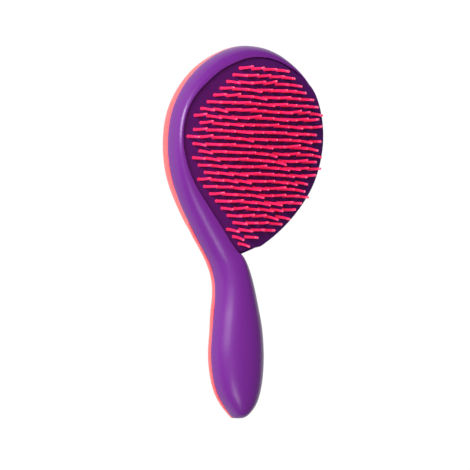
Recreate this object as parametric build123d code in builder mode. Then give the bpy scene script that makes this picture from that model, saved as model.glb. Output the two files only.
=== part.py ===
"""Detangling hair brush: teardrop head, curved neck, bulged handle, flexible pins.

Frame: the brush lies on its back. +Z is the direction of the pins, +Y runs along
the brush towards the head, +X is to the right when the pins face the viewer.
The origin is the centre of the bounding box in X and Y, on the resting plane.
All lengths are in millimetres.
"""
import os
from math import cos, pi, sin

from build123d import *

os.makedirs("parts", exist_ok=True)

# ---- driving dimensions ------------------------------------------------------
LENGTH = 200.5          # handle end to top of head
HEAD_CENTRE = (-1.0, 147.0)  # middle of the head, measured from the handle end
BACK_DEPTH = 10.0       # back shell below the parting plane, on the head
WALL = 2.0              # shell wall
PAD_TOP = 7.8           # face of the pad above the parting plane
PAD_THICKNESS = 2.0
FLANGE_THICKNESS = 1.2
PLATE_THICKNESS = 1.6
SHELF_WIDTH = 1.6       # ledge under the edge of the pad
HEAD_WALL_INSET = 1.2   # how far the head wall stands in under the ribbon
CUT_HEIGHT = 30.0       # cutters reach this far up, past the ribbon's crest
PAD_CLEARANCE = 0.15

ROWS = 26
ROW_PITCH = 3.74        # along the brush
PIN_PITCH = 7.7         # across the brush; every second row is shifted by half
FIRST_ROW = 94.8        # lowest row, measured from the handle end
FIRST_PIN_X = -5.6
PIN_GAP_CREST = 4.2     # least distance from a pin's axis to the ribbon's crest
PIN_GAP_RIGHT = 6.2     # the same to the open right edge, so no tip passes it
PIN_BASE_RADIUS = 0.95
PIN_TIP_RADIUS = 0.55
PIN_BALL_RADIUS = 0.7
FLANGE_RADIUS = 1.6
HOLE_RADIUS = 1.05
PIN_EDGE_LENGTH = 10.4  # free length above the pad at the edge of the field
PIN_MIDDLE_LENGTH = 19.5
PIN_STEP = 1.6          # every second row is shorter by this much, in the middle
FIELD_HALF_WIDTH = 42.0   # where the pins are down to their edge length
FIELD_HALF_LENGTH = 50.0
STEPPED_FIELD = 0.7     # part of the field, from the middle, where the rows are stepped
PINS_EACH_SIDE = 8      # lattice places tried on either side of the first pin
BACK_EDGE = 7.0         # how far the back of the head rounds in towards its floor
TRAY_STEPS = 5
TRAY_POWER = 2.7        # squareness of that rounding
POST_RADIUS = 2.5
POST_ROOT = WALL / 2    # the posts start inside the floor of the back shell
PLATE_GAP = 0.3         # play between the retainer plate and the wall
SQUARENESS = 2.5        # superellipse power of the handle and ribbon sections
QUARTER_STEPS = 5       # points on each quarter of such a section

SHIFT_X = 1.1           # puts the middle of the bounding box on the axis
Z0 = BACK_DEPTH         # height of the parting plane above the resting plane
Y0 = -LENGTH / 2        # handle end in the part's frame


def place(x, y, z=0.0):
    """Point given from the handle end and the parting plane, in the part's frame."""
    return (x + SHIFT_X, y + Y0, z + Z0)


# ---- outlines ----------------------------------------------------------------
# Handle, neck and ribbon: each station is a vertical section between an outer
# point and an inner point, with its height and where its peak lies between them.
# (outer x, outer y, inner x, inner y, front height, peak)
HANDLE = [
    (-0.6, 0.35, 4.2, 0.35, 4.0, 0.50),
    (-2.4, 2.2, 7.6, 2.0, 7.0, 0.50),
    (-6.3, 6.4, 11.3, 6.0, 9.3, 0.50),
    (-10.9, 13.2, 14.2, 13.2, 10.9, 0.50),
    (-14.2, 23.0, 15.6, 23.0, 12.0, 0.50),
    (-15.9, 36.0, 15.5, 36.0, 12.6, 0.50),
    (-15.5, 50.0, 13.4, 50.0, 12.6, 0.51),
    (-14.9, 63.0, 9.7, 63.0, 12.3, 0.53),
    (-15.6, 74.0, 5.9, 74.0, 12.0, 0.57),
]
NECK = [
    (-18.9, 82.4, 2.4, 80.6, 11.8, 0.64),
    (-23.6, 90.2, -3.4, 84.6, 11.4, 0.74),
    (-29.0, 98.0, -9.6, 90.0, 11.0, 0.84),
]
RIBBON = [
    (-34.6, 106.9, -13.8, 97.4, 10.7, 0.86),
    (-40.1, 117.0, -21.8, 107.2, 10.4, 0.88),
    (-44.6, 127.6, -30.4, 118.8, 10.2, 0.90),
    (-47.3, 138.6, -38.4, 133.6, 10.0, 0.91),
    (-48.1, 150.0, -42.4, 148.8, 9.9, 0.91),
    (-46.9, 161.2, -41.4, 160.2, 9.8, 0.91),
    (-43.4, 171.2, -37.4, 168.6, 9.8, 0.91),
    (-37.2, 181.0, -30.4, 177.0, 9.8, 0.91),
    (-28.2, 190.0, -22.6, 184.6, 9.8, 0.91),
    (-16.4, 196.9, -12.8, 190.2, 9.8, 0.91),
    (-2.0, 200.5, -1.2, 192.8, 9.7, 0.91),
    (10.6, 199.0, 8.6, 192.2, 9.6, 0.91),
    (21.2, 194.4, 17.4, 189.4, 9.4, 0.90),
    (30.0, 187.9, 26.9, 184.8, 9.2, 0.88),
    (36.4, 180.6, 34.4, 179.2, 9.0, 0.86),
]

# Right side of the head, from the notch at the neck up to the end of the ribbon.
HEAD_FOOT = (-4.0, 88.0)
FOOT_DIRECTION = (1, 0.1)   # the outline leaves the foot this way
HEAD_TOP = (-2.0, 200.5)
HEAD_RIGHT = [
    (8.0, 93.0), (17.4, 99.4), (27.2, 108.2), (35.0, 117.6),
    (40.6, 127.0), (44.2, 137.4), (46.0, 149.6), (45.3, 160.4), (42.6, 170.6),
    (37.3, 180.0), (30.2, 187.9), (21.2, 194.4), (10.6, 199.0),
]
# Left side of the head on the parting plane, from the top down to the neck.
HEAD_LEFT = [
    (-16.4, 196.9), (-28.2, 190.0), (-37.2, 181.0), (-43.4, 171.2),
    (-46.9, 161.2), (-48.1, 150.0), (-47.3, 138.6), (-44.6, 127.6), (-39.6, 116.6),
    (-33.6, 106.4), (-25.2, 96.8), (-14.6, 90.2),
]
# Edge of the pad: along the crest of the ribbon, from the neck up and over the top.
PAD_CREST = [
    (-7.6, 89.8), (-11.6, 93.6), (-18.4, 102.7), (-27.4, 113.9), (-36.8, 126.6),
    (-42.3, 138.6), (-44.4, 150.0), (-43.8, 159.6), (-40.0, 169.2), (-31.8, 178.9),
    (-19.4, 188.4), (-7.0, 193.4), (4.0, 194.4), (14.6, 192.6), (24.4, 188.2),
]
PAD_SETBACK = 0.4       # the pad ends this far inside the right edge of the head


def towards_centre(point, distance):
    """Move an outline point towards the middle of the head."""
    dx, dy = HEAD_CENTRE[0] - point[0], HEAD_CENTRE[1] - point[1]
    reach = (dx**2 + dy**2) ** 0.5
    return (point[0] + dx * distance / reach, point[1] + dy * distance / reach)


PAD_RIGHT = [towards_centre(p, PAD_SETBACK) for p in reversed(HEAD_RIGHT[:10])]


def flat(points):
    """Outline points in the part's frame, without height."""
    return [place(x, y)[:2] for x, y in points]


def head_sketch(height, left_inset, right_inset=0.0):
    """Closed egg of the head; its left side may be set in, under the ribbon."""
    left = [towards_centre(p, left_inset) for p in HEAD_LEFT]
    right = [towards_centre(p, right_inset) for p in HEAD_RIGHT]
    top = towards_centre(HEAD_TOP, left_inset)
    foot = towards_centre(HEAD_FOOT, max(left_inset, right_inset))
    with BuildSketch(Plane.XY.offset(Z0 + height)) as sketch:
        with BuildLine():
            Spline(*flat([foot] + right + [top]), tangents=[FOOT_DIRECTION, (-1, 0)])
            Spline(*flat([top] + left + [foot]), tangents=[(-1, 0), FOOT_DIRECTION])
        make_face()
    return sketch


def pad_sketch(height, inset=0.0, right_inset=None):
    """Outline of the pad's seat, with its corner at the neck, set in all round."""
    right_inset = inset if right_inset is None else right_inset
    edge = [towards_centre(p, inset) for p in PAD_CREST]
    edge += [towards_centre(p, right_inset) for p in PAD_RIGHT]
    with BuildSketch(Plane.XY.offset(Z0 + height)) as sketch:
        with BuildLine():
            crest = Spline(*flat(edge))
            Line(crest @ 1, crest @ 0)
        make_face()
    return sketch


def section(station, inset, direction):
    """One vertical section of the handle or ribbon, as a closed face.

    The outline rises from the outer point to the peak and falls to the inner point
    along two superellipse quarters; direction is +1 for the front, -1 for the back.
    """
    ox, oy, ix, iy, height, peak = station
    width = ((ix - ox) ** 2 + (iy - oy) ** 2) ** 0.5
    ux, uy = (ix - ox) / width, (iy - oy) / width
    rise = height - inset
    plane = Plane(origin=place(ox, oy), x_dir=(ux, uy, 0), z_dir=(uy, -ux, 0))
    centre = peak * width
    left, right = centre - inset, width - centre - min(inset, (width - centre) / 2)
    arc = []
    for k in range(2 * QUARTER_STEPS + 1):
        angle = pi / 2 * k / QUARTER_STEPS
        c, s = abs(cos(angle)) ** (2 / SQUARENESS), abs(sin(angle)) ** (2 / SQUARENESS)
        side = centre - left * c if k <= QUARTER_STEPS else centre + right * c
        arc.append((side, direction * rise * s))
    with BuildSketch(plane) as sketch:
        with BuildLine():
            Spline(*arc)
            Line(arc[-1], arc[0])
        make_face()
    return sketch.sketch.faces()[0]


# The back of the handle meets the front on the parting plane and runs into the head,
# where its last station ends inside the tray.
BACK_DEPTHS = [2.6, 4.8, 6.6, 8.0, 9.2, 9.8, 9.6, 9.2, 8.6, 7.8, 7.2, 7.0]
BACK_HANDLE = [
    (ox, oy, ix, iy, depth, 0.5)
    for (ox, oy, ix, iy, _, _), depth in zip(HANDLE + NECK, BACK_DEPTHS)
]
BACK_HANDLE.append((-34.6, 111.0, -18.0, 100.0, 7.0, 0.5))
POSTS = [(-28.0, 147.0), (27.0, 147.0), (-1.0, 183.0), (-1.0, 112.0)]


def tray_outlines(inset):
    """Outlines of the back of the head, from the parting plane down to its floor."""
    outlines = []
    for k in range(TRAY_STEPS + 1):
        angle = pi / 2 * k / TRAY_STEPS
        c, s = abs(cos(angle)) ** (2 / TRAY_POWER), abs(sin(angle)) ** (2 / TRAY_POWER)
        side = inset + BACK_EDGE * (1 - c)
        depth = (BACK_DEPTH - inset) * s
        outlines.append(head_sketch(-depth, side, side).sketch.faces()[0])
    return outlines


# ---- front shell -------------------------------------------------------------
SHELF_TOP = PAD_TOP - PAD_THICKNESS
SHELF_BOTTOM = SHELF_TOP - FLANGE_THICKNESS
PLATE_BOTTOM = SHELF_BOTTOM - PLATE_THICKNESS

with BuildPart() as pad_seat:
    extrude(pad_sketch(SHELF_TOP).sketch, amount=CUT_HEIGHT)

with BuildPart() as head_well:
    extrude(pad_sketch(0, SHELF_WIDTH).sketch, amount=CUT_HEIGHT)

with BuildPart() as head_wall:
    extrude(head_sketch(0, HEAD_WALL_INSET).sketch, amount=SHELF_TOP)
    add(head_well.part, mode=Mode.SUBTRACT)

with BuildPart() as ribbon:
    loft([section(s, 0, 1) for s in RIBBON])
    add(pad_seat.part, mode=Mode.SUBTRACT)
    add(head_well.part, mode=Mode.SUBTRACT)

with BuildPart() as handle_front:
    loft([section(s, 0, 1) for s in HANDLE + NECK + RIBBON[:1]])
    add(pad_seat.part, mode=Mode.SUBTRACT)
    add(head_well.part, mode=Mode.SUBTRACT)

with BuildPart() as front_shell:
    add(head_wall.part)
    add(ribbon.part)
    add(handle_front.part)
    loft([section(s, WALL, 1) for s in HANDLE[2:] + NECK[:1]], mode=Mode.SUBTRACT)

# ---- back shell --------------------------------------------------------------
with BuildPart() as back_shell:
    loft(tray_outlines(0))
    loft(tray_outlines(WALL), mode=Mode.SUBTRACT)
    loft([section(s, 0, -1) for s in BACK_HANDLE])
    loft([section(s, WALL, -1) for s in BACK_HANDLE[2:-1]], mode=Mode.SUBTRACT)
    # posts that carry the retainer plate
    with BuildSketch(Plane.XY.offset(Z0 - BACK_DEPTH + POST_ROOT)) as posts:
        with Locations(*[place(x, y)[:2] for x, y in POSTS]):
            Circle(POST_RADIUS)
    extrude(amount=BACK_DEPTH - POST_ROOT + PLATE_BOTTOM)

# ---- pins --------------------------------------------------------------------


def pin_rows():
    """Rows of (x, y, free length) for every pin that keeps clear of the pad's edge."""
    field = pad_sketch(0, PIN_GAP_CREST, PIN_GAP_RIGHT).sketch.faces()[0]
    rows = []
    for i in range(ROWS):
        y = FIRST_ROW + i * ROW_PITCH
        offset_x = PIN_PITCH / 2 * (i % 2)
        row = []
        for k in range(-PINS_EACH_SIDE, PINS_EACH_SIDE + 1):
            x = FIRST_PIN_X + offset_x + k * PIN_PITCH
            if not field.is_inside(Vector(*place(x, y)), tolerance=1e-4):
                continue
            across = (x - HEAD_CENTRE[0]) / FIELD_HALF_WIDTH
            along = (y - HEAD_CENTRE[1]) / FIELD_HALF_LENGTH
            reach = across**2 + along**2
            rise = (PIN_MIDDLE_LENGTH - PIN_EDGE_LENGTH) * max(0.0, 1 - reach)
            step = PIN_STEP * (i % 2) * (reach < STEPPED_FIELD)
            row.append((x, y, PIN_EDGE_LENGTH + rise - step))
        rows.append(row)
    return rows


def pin_profile(x, y, free_length):
    """Half section of one pin: flange, tapered shank and ball tip."""
    ball = PAD_TOP + free_length - PIN_BALL_RADIUS
    neck = ball - (PIN_BALL_RADIUS**2 - PIN_TIP_RADIUS**2) ** 0.5
    plane = Plane(origin=place(x, y), x_dir=(1, 0, 0), z_dir=(0, -1, 0))
    with BuildSketch(plane) as profile:
        with BuildLine():
            Polyline(
                (PIN_TIP_RADIUS, neck),
                (PIN_BASE_RADIUS, SHELF_TOP),
                (FLANGE_RADIUS, SHELF_TOP),
                (FLANGE_RADIUS, SHELF_BOTTOM),
                (0, SHELF_BOTTOM),
                (0, ball + PIN_BALL_RADIUS),
            )
            ThreePointArc(
                (0, ball + PIN_BALL_RADIUS), (PIN_BALL_RADIUS, ball), (PIN_TIP_RADIUS, neck)
            )
        make_face()
    return profile


pin_field = pin_rows()
pin_nodes = []
for number, row in enumerate(pin_field, start=1):
    with BuildPart() as pins:
        for x, y, free_length in row:
            revolve(pin_profile(x, y, free_length).sketch, axis=Axis(place(x, y), (0, 0, 1)))
    pins.part.label = f"pin_row_{number:02d}"
    pin_nodes.append(pins)

# ---- face pad and retainer plate ---------------------------------------------
with BuildPart() as face_pad:
    extrude(pad_sketch(SHELF_TOP, PAD_CLEARANCE).sketch, amount=PAD_THICKNESS)
    with BuildSketch(Plane.XY.offset(Z0 + SHELF_TOP)) as holes:
        with Locations(*[place(x, y)[:2] for row in pin_field for x, y, _ in row]):
            Circle(HOLE_RADIUS)
    extrude(amount=PAD_THICKNESS, mode=Mode.SUBTRACT)

with BuildPart() as retainer_plate:
    extrude(pad_sketch(PLATE_BOTTOM, SHELF_WIDTH + PLATE_GAP).sketch, amount=PLATE_THICKNESS)

# ---- labels and files --------------------------------------------------------
front_shell.part.label = "front_shell"
back_shell.part.label = "back_shell"
face_pad.part.label = "face_pad"
retainer_plate.part.label = "retainer_plate"

for piece in [front_shell, back_shell, face_pad, retainer_plate] + pin_nodes:
    export_step(piece.part, f"parts/{piece.part.label}.step")
print("pins:", sum(len(row) for row in pin_field), "rows:", len(pin_field))
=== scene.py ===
"""Detangling hair brush: looks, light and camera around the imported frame.

Lengths are in metres, apart from the outlines of the front shell, which are in
millimetres like the CAD's.
"""
import math
import random

import bmesh
import bpy
from mathutils import Matrix, Vector


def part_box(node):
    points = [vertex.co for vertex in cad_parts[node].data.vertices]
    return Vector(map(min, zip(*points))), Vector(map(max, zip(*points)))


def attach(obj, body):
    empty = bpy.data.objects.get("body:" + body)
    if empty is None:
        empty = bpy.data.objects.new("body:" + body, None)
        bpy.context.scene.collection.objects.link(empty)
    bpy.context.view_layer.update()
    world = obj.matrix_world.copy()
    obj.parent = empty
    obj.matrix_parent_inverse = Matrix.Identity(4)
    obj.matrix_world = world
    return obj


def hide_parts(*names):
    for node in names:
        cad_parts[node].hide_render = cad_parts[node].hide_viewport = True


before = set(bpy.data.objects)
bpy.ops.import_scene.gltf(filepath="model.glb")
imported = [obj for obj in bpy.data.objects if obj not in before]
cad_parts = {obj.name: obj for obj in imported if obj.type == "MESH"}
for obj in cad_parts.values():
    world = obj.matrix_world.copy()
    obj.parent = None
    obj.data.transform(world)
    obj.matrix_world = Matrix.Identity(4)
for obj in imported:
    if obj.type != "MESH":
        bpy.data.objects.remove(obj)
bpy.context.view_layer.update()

bpy.context.scene.view_settings.view_transform = "Standard"

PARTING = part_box("front_shell")[0][2]      # height of the seam between the two shells
PAD_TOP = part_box("face_pad")[1][2]         # face of the pad
HANDLE_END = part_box("front_shell")[0][1]   # lowest y of the handle
AXIS_X = 0.0011                            # the handle's axis in the frame
MM_PER_M = 1000
PIN_ROWS = [n for n in sorted(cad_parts) if n.startswith("pin_row_")]


# ---- materials ---------------------------------------------------------------
def principled(name, base, roughness, **sockets):
    """A material with a Principled shader and uniform values on its own sockets."""
    material = bpy.data.materials.new(name)
    material.use_nodes = True
    shader = material.node_tree.nodes["Principled BSDF"]
    shader.inputs["Base Color"].default_value = (*base, 1)
    shader.inputs["Roughness"].default_value = roughness
    for socket, value in sockets.items():
        shader.inputs[socket.replace("_", " ")].default_value = value
    return material, shader


def add_noise(material, shader, scale, strength, distance, roughness, colours):
    """Fine moulded texture: bump, and a little variation of roughness and colour."""
    tree = material.node_tree
    place = tree.nodes.new("ShaderNodeTexCoord")
    noise = tree.nodes.new("ShaderNodeTexNoise")
    noise.inputs["Scale"].default_value = scale
    noise.inputs["Detail"].default_value = 4
    tree.links.new(place.outputs["Object"], noise.inputs["Vector"])
    bump = tree.nodes.new("ShaderNodeBump")
    bump.inputs["Strength"].default_value = strength
    bump.inputs["Distance"].default_value = distance
    tree.links.new(noise.outputs["Fac"], bump.inputs["Height"])
    tree.links.new(bump.outputs["Normal"], shader.inputs["Normal"])
    spread = tree.nodes.new("ShaderNodeMapRange")
    spread.inputs["To Min"].default_value = roughness[0]
    spread.inputs["To Max"].default_value = roughness[1]
    tree.links.new(noise.outputs["Fac"], spread.inputs["Value"])
    tree.links.new(spread.outputs["Result"], shader.inputs["Roughness"])
    ramp = tree.nodes.new("ShaderNodeValToRGB")
    for element, colour, position in zip(ramp.color_ramp.elements, colours, (0.3, 0.7)):
        element.color = (*colour, 1)
        element.position = position
    tree.links.new(noise.outputs["Fac"], ramp.inputs["Fac"])
    tree.links.new(ramp.outputs["Color"], shader.inputs["Base Color"])


def purple_plastic():
    """Satin purple of the front shell."""
    material, shader = principled(
        "purple_plastic", (0.12, 0.012, 0.19), 0.34,
        Specular_IOR_Level=0.35, Coat_Weight=0.12, Coat_Roughness=0.2,
    )
    add_noise(
        material, shader, scale=900, strength=0.04, distance=0.0001, roughness=(0.3, 0.38),
        colours=((0.116, 0.0115, 0.184), (0.124, 0.0125, 0.196)),
    )
    return material


def coral_plastic():
    """Slightly translucent coral of the back shell."""
    material, shader = principled(
        "coral_plastic", (1.0, 0.09, 0.1), 0.4,
        Subsurface_Weight=0.1, Subsurface_Scale=0.002, Coat_Weight=0.1, Coat_Roughness=0.25,
    )
    add_noise(
        material, shader, scale=900, strength=0.04, distance=0.0001, roughness=(0.26, 0.36),
        colours=((0.96, 0.085, 0.092), (1.0, 0.097, 0.105)),
    )
    return material


def pad_shaded_purple():
    """Matt purple of the pad and of the plate behind it: the shell's purple darkened, as painted
    shade.
    """
    # Painted shade: the base and noise colours are the shell's purple darkened, standing for the
    # pad lying in shade.
    material, shader = principled("pad_shaded_purple", (0.05, 0.002, 0.08), 0.5, Specular_IOR_Level=0.25)
    add_noise(
        material, shader, scale=2500, strength=0.25, distance=0.0002, roughness=(0.4, 0.55),
        colours=((0.043, 0.0018, 0.068), (0.055, 0.0025, 0.086)),
    )
    return material


def pin_nylon():
    """Glossy, slightly translucent pink of the pins."""
    material, shader = principled(
        "pin_nylon", (1.0, 0.02, 0.12), 0.3,
        Subsurface_Weight=0.25, Subsurface_Scale=0.0015, Coat_Weight=0.5, Coat_Roughness=0.25,
    )
    add_noise(
        material, shader, scale=1500, strength=0.05, distance=0.0001, roughness=(0.24, 0.36),
        colours=((0.95, 0.016, 0.105), (1.0, 0.028, 0.15)),
    )
    return material


PURPLE = purple_plastic()
CORAL = coral_plastic()
# The pad material holds painted shade: a darker copy of the shell's purple.
PAD_SHADED_PURPLE = pad_shaded_purple()
NYLON = pin_nylon()
for node, material in (
    ("front_shell", PURPLE), ("back_shell", CORAL), ("face_pad", PAD_SHADED_PURPLE), ("retainer_plate", PAD_SHADED_PURPLE),
):
    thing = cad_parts[node]
    thing.data.materials.clear()
    thing.data.materials.append(material)


# ---- front shell -------------------------------------------------------------
# Stations of the purple moulding, in millimetres from the handle's end and axis:
# outer x, outer y, inner x, inner y, height, where the peak lies, height of the inner foot
STATIONS = [
    (-0.2, 0.12, 3.8, 0.12, 2.6, 0.50, 0), (-1.4, 0.9, 6.0, 0.8, 5.4, 0.50, 0),
    (-3.8, 3.5, 8.9, 3.3, 8.0, 0.50, 0), (-7.6, 8.2, 12.3, 8.0, 9.9, 0.50, 0),
    (-11.2, 14.2, 14.4, 14.2, 11.1, 0.50, 0), (-14.2, 23.0, 15.6, 23.0, 12.0, 0.50, 0),
    (-15.9, 35.0, 15.5, 35.0, 12.6, 0.50, 0), (-15.6, 49.0, 13.6, 49.0, 12.6, 0.50, 0),
    (-14.9, 62.0, 10.0, 62.0, 12.3, 0.51, 0), (-15.3, 71.5, 6.8, 72.0, 12.1, 0.54, 0),
    (-16.9, 78.2, 3.6, 79.8, 11.9, 0.60, 0), (-19.0, 83.2, 0.2, 85.4, 11.7, 0.70, 0),
    (-21.4, 87.0, -3.6, 88.8, 11.5, 0.82, 1.0), (-24.0, 90.8, -7.8, 90.4, 11.2, 0.95, 4.0),
    (-26.6, 94.7, -12.2, 94.5, 11.0, 1.0, 5.4), (-29.6, 99.2, -17.2, 101.0, 10.9, 1.0, 5.8),
    (-33.7, 105.7, -22.6, 107.9, 10.7, 1.0, 5.8), (-37.8, 112.5, -28.8, 115.7, 10.5, 1.0, 5.8),
    (-41.5, 119.9, -34.4, 123.0, 10.3, 1.0, 5.8), (-44.6, 127.6, -39.1, 130.7, 10.2, 1.0, 5.8),
    (-46.9, 136.4, -42.3, 138.6, 10.1, 1.0, 5.8), (-48.0, 145.0, -44.1, 145.8, 10.0, 1.0, 5.8),
    (-47.9, 153.6, -44.5, 153.2, 9.9, 1.0, 5.8), (-46.7, 162.0, -43.3, 161.0, 9.9, 1.0, 5.8),
    (-43.9, 170.0, -40.4, 168.3, 9.8, 1.0, 5.8), (-39.5, 177.9, -35.8, 174.8, 9.8, 1.0, 5.8),
    (-33.4, 185.2, -29.4, 181.0, 9.8, 1.0, 5.8), (-25.8, 191.6, -22.2, 186.6, 9.8, 1.0, 5.8),
    (-16.4, 196.9, -13.8, 190.9, 9.8, 1.0, 5.8), (-5.8, 200.0, -4.6, 193.8, 9.7, 1.0, 5.8),
    (5.2, 200.0, 4.4, 194.4, 9.5, 1.0, 5.8), (14.2, 197.8, 12.6, 193.2, 9.2, 1.0, 5.8),
    (22.0, 194.0, 20.0, 190.6, 8.8, 1.0, 5.8), (28.8, 189.0, 27.4, 187.0, 8.4, 1.0, 5.8),
    (34.2, 183.6, 33.2, 182.5, 8.0, 1.0, 5.8), (38.6, 177.6, 37.8, 177.0, 7.6, 1.0, 5.8),
]
# The low wall under the pad's right edge, from the end of the ribbon to the neck.
WALL = [
    (42.6, 170.6), (45.3, 160.4), (46.0, 149.6), (44.2, 137.4), (40.6, 127.0),
    (35.0, 117.6), (27.2, 108.2), (17.4, 99.4), (8.0, 93.0), (-2.0, 88.8), (-9.0, 86.0),
]
WALL_HEIGHT = 5.9
WALL_WIDTH = 1.2
HEAD_MIDDLE = (-1.0, 147.0)
SEAM_CHAMFER = 0.3
SQUARENESS = 2.25       # superellipse power of the sections
STATION_STEPS = 8       # sections between two stations
ARC_STEPS = 14          # points on each side of a section's peak
EDGE_ANGLE = 40         # degrees; sharper edges are not smoothed over


def wall_stations():
    """The wall's outline as stations like the ribbon's."""
    stations = []
    for x, y in WALL:
        dx, dy = HEAD_MIDDLE[0] - x, HEAD_MIDDLE[1] - y
        reach = math.hypot(dx, dy)
        inner = (x + dx * WALL_WIDTH / reach, y + dy * WALL_WIDTH / reach)
        stations.append((x, y, *inner, WALL_HEIGHT, 0.5, 0))
    return stations


def between(p0, p1, p2, p3, t):
    """Catmull-Rom curve through p1 and p2, for each number of a station."""
    return [
        0.5 * (2 * b + (c - a) * t + (2 * a - 5 * b + 4 * c - d) * t * t
               + (3 * b - a - 3 * c + d) * t**3)
        for a, b, c, d in zip(p0, p1, p2, p3)
    ]


def smooth_stations(stations):
    """The stations, with sections worked out between them."""
    dense = []
    last = len(stations) - 1
    for i in range(last):
        p = [stations[min(max(k, 0), last)] for k in (i - 1, i, i + 1, i + 2)]
        dense += [between(*p, k / STATION_STEPS) for k in range(STATION_STEPS)]
    return dense + [stations[last]]


def quarter():
    """Cosine and sine of a superellipse quarter, step by step."""
    angles = (math.pi / 2 * k / ARC_STEPS for k in range(ARC_STEPS + 1))
    power = 2 / SQUARENESS
    return [(math.cos(a) ** power, math.sin(a) ** power) for a in angles]


def skin_section(mesh, station):
    """Points of one section: seam chamfer, outer flank, peak, inner side and its foot."""
    ox, oy, ix, iy, height, peak, foot = station
    peak, foot = min(peak, 1.0), max(foot, 0.0)
    width = math.hypot(ix - ox, iy - oy)
    ux, uy = (ix - ox) / width, (iy - oy) / width
    chamfer = min(SEAM_CHAMFER, width / 8)
    top = peak * width
    profile = [(chamfer, 0.0), (chamfer * 0.25, chamfer * 0.35)]
    profile += [(top * (1 - c), chamfer + (height - chamfer) * s) for c, s in quarter()]
    profile += [(top + (1 - peak) * width * s, foot + (height - foot) * c) for c, s in quarter()]
    profile.append((width - chamfer, foot))
    return [
        mesh.verts.new((
            AXIS_X + (ox + ux * side) / MM_PER_M,
            HANDLE_END + (oy + uy * side) / MM_PER_M,
            PARTING + rise / MM_PER_M,
        ))
        for side, rise in profile
    ]


def join_rings(mesh, lower, upper):
    """Faces between two rings with the same number of points."""
    for k in range(len(lower)):
        k2 = (k + 1) % len(lower)
        mesh.faces.new((lower[k], lower[k2], upper[k2], upper[k]))


def build_front_shell():
    """The purple moulding as one skin, in place of the CAD shell."""
    mesh = bmesh.new()
    sections = [skin_section(mesh, s) for s in smooth_stations(STATIONS + wall_stations())]
    for lower, upper in zip(sections, sections[1:]):
        join_rings(mesh, lower, upper)
    for end in (sections[0], sections[-1]):
        mesh.faces.new(end)
    bmesh.ops.remove_doubles(mesh, verts=mesh.verts, dist=2e-6)
    bmesh.ops.recalc_face_normals(mesh, faces=mesh.faces)
    data = bpy.data.meshes.new("front_shell_skin")
    mesh.to_mesh(data)
    mesh.free()
    data.shade_smooth()
    data.materials.append(PURPLE)
    piece = bpy.data.objects.new("front_shell_skin", data)
    bpy.context.scene.collection.objects.link(piece)
    with bpy.context.temp_override(object=piece, active_object=piece, selected_objects=[piece],
                                   selected_editable_objects=[piece]):
        bpy.ops.object.shade_smooth_by_angle(angle=math.radians(EDGE_ANGLE))
    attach(piece, "root")
    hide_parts("front_shell")


build_front_shell()


# ---- pins --------------------------------------------------------------------
PIN_FOOT = [(-0.0004, 0.00104), (0.0, 0.00105), (0.0004, 0.00098), (0.001, 0.00094)]
PIN_RADIUS = 0.00094
PIN_TAPER = 0.00032
BALL_RADIUS = 0.0007
BEND_POWER = 1.7        # how the bend grows along a pin
RING_SIDES = 14
FIRST_SEED = 700


def pin_places(node):
    """Place and top of each pin of a row, read from the CAD row's solids."""
    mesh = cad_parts[node].data
    islands = bmesh.new()
    islands.from_mesh(mesh)
    bmesh.ops.remove_doubles(islands, verts=islands.verts, dist=1e-7)
    seen, places = set(), []
    for start in islands.verts:
        if start in seen:
            continue
        stack, xs, ys, top = [start], [], [], -1.0
        seen.add(start)
        while stack:
            vert = stack.pop()
            xs.append(vert.co.x)
            ys.append(vert.co.y)
            top = max(top, vert.co.z)
            for edge in vert.link_edges:
                other = edge.other_vert(vert)
                if other not in seen:
                    seen.add(other)
                    stack.append(other)
        places.append(((min(xs) + max(xs)) / 2, (min(ys) + max(ys)) / 2, top))
    islands.free()
    return sorted(places)


def add_ring(mesh, centre, tangent, radius):
    """One ring of a pin's skin, square to its bent centre line."""
    side = tangent.cross(Vector((0, 1, 0))).normalized()
    other = tangent.cross(side)
    return [
        mesh.verts.new(centre + radius * (math.cos(a) * side + math.sin(a) * other))
        for a in (2 * math.pi * k / RING_SIDES for k in range(RING_SIDES))
    ]


def build_pin(mesh, x, y, top, lean_x, lean_y):
    """Tapered pin with a filleted foot and a ball tip, bent sideways as it rises."""
    length = top - PAD_TOP
    shape = list(PIN_FOOT)
    shape += [(length * t, PIN_RADIUS - PIN_TAPER * t) for t in (0.2, 0.35, 0.5, 0.65, 0.8, 0.9)]
    for a in map(math.radians, (-50, -25, 0, 25, 50, 70, 83)):
        shape.append((length - BALL_RADIUS + BALL_RADIUS * math.sin(a), BALL_RADIUS * math.cos(a)))
    rings = []
    for height, radius in shape:
        t = max(0.0, height) / length
        bend = t**BEND_POWER
        centre = Vector((x + lean_x * bend, y + lean_y * bend, PAD_TOP + height))
        slope = BEND_POWER * t ** (BEND_POWER - 1) / length
        tangent = Vector((lean_x * slope, lean_y * slope, 1)).normalized()
        rings.append(add_ring(mesh, centre, tangent, radius))
    for lower, upper in zip(rings, rings[1:]):
        join_rings(mesh, lower, upper)
    mesh.faces.new(rings[-1])
    mesh.faces.new(list(reversed(rings[0])))


def build_row(node, number):
    """All the pins of one row as one piece, in place of the CAD row."""
    rng = random.Random(FIRST_SEED + number)
    mesh = bmesh.new()
    for x, y, top in pin_places(node):
        lean_x = rng.gauss(0.0, 0.0007)
        lean_y = 0.0008 * math.sin(170 * x + 240 * y) + rng.gauss(0.0, 0.00035)
        build_pin(mesh, x, y, top, lean_x, lean_y)
    bmesh.ops.recalc_face_normals(mesh, faces=mesh.faces)
    data = bpy.data.meshes.new(f"pins_{number:02d}")
    mesh.to_mesh(data)
    mesh.free()
    data.shade_smooth()
    data.materials.append(NYLON)
    piece = bpy.data.objects.new(f"pins_{number:02d}", data)
    bpy.context.scene.collection.objects.link(piece)
    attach(piece, "root")
    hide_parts(node)


for number, node in enumerate(PIN_ROWS, start=1):
    build_row(node, number)


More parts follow.
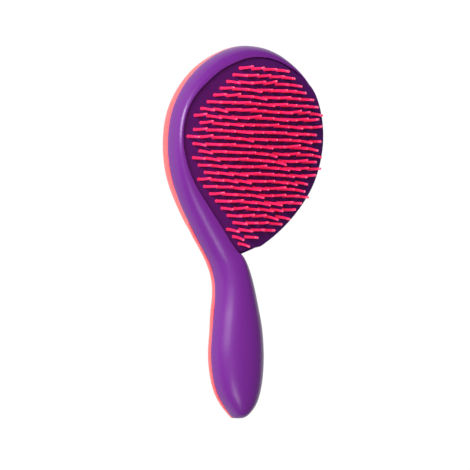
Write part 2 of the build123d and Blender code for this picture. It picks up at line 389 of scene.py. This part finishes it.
# ---- floor, light and camera -------------------------------------------------
def studio():
    """An evenly white floor that takes no shadow, and a soft white world."""
    bpy.ops.mesh.primitive_plane_add(size=6, location=(0, 0, -0.0002))
    floor = bpy.context.object
    floor.name = "floor"
    white, _ = principled(
        "floor_white", (0, 0, 0), 1.0,
        Specular_IOR_Level=0, Emission_Color=(1, 1, 1, 1), Emission_Strength=1.02,
    )
    floor.data.materials.append(white)
    world = bpy.data.worlds.new("studio")
    world.use_nodes = True
    world.node_tree.nodes["Background"].inputs["Color"].default_value = (1, 1, 1, 1)
    world.node_tree.nodes["Background"].inputs["Strength"].default_value = 0.17
    bpy.context.scene.world = world


def area_light(name, place, target, size, power):
    """A rectangular light that faces its target."""
    data = bpy.data.lights.new(name, "AREA")
    data.shape = "RECTANGLE"
    data.size, data.size_y = size
    data.energy = power
    light = bpy.data.objects.new(name, data)
    light.location = place
    light.rotation_euler = (Vector(target) - Vector(place)).to_track_quat("-Z", "Y").to_euler()
    bpy.context.scene.collection.objects.link(light)


SENSOR_WIDTH = 36       # millimetres, like the focal length
FOCAL_LENGTH = 215.85
LENS_SHIFT = (-0.01215, 0.00128)   # as a part of the picture's width
CAMERA_DISTANCE = 1.5135
TARGET_Y = 0.150        # where the camera looks, from the handle's end


def camera():
    """Long lens, to the left of the face of the brush, a little rolled."""
    turn, pitch, roll = math.radians(32.3), math.radians(1.95), math.radians(2.4)
    data = bpy.data.cameras.new("camera")
    data.sensor_width = SENSOR_WIDTH
    data.lens = FOCAL_LENGTH
    data.clip_end = 20
    eye = bpy.data.objects.new("camera", data)
    forward = Vector((math.sin(turn), 0, -math.cos(turn)))
    right = Vector((math.cos(turn), 0, math.sin(turn)))
    up = Vector((0, 1, 0))
    aim = forward * math.cos(pitch) - up * math.sin(pitch)
    level = up * math.cos(pitch) + forward * math.sin(pitch)
    side = right * math.cos(roll) + level * math.sin(roll)
    top = level * math.cos(roll) - right * math.sin(roll)
    turned = Matrix((side, top, -aim)).transposed().to_4x4()
    target = Vector((AXIS_X, HANDLE_END + TARGET_Y, PARTING))
    turned.translation = target - forward * CAMERA_DISTANCE
    eye.matrix_world = turned
    data.shift_x, data.shift_y = LENS_SHIFT
    bpy.context.scene.collection.objects.link(eye)
    bpy.context.scene.camera = eye


studio()
area_light("key", place=(-1.2, 0.5, 1.05), target=(0, 0.03, 0.01), size=(0.8, 1.1), power=52)
area_light("fill", place=(-0.3, -0.9, 1.2), target=(0, 0, 0.01), size=(0.6, 0.4), power=5)
camera()
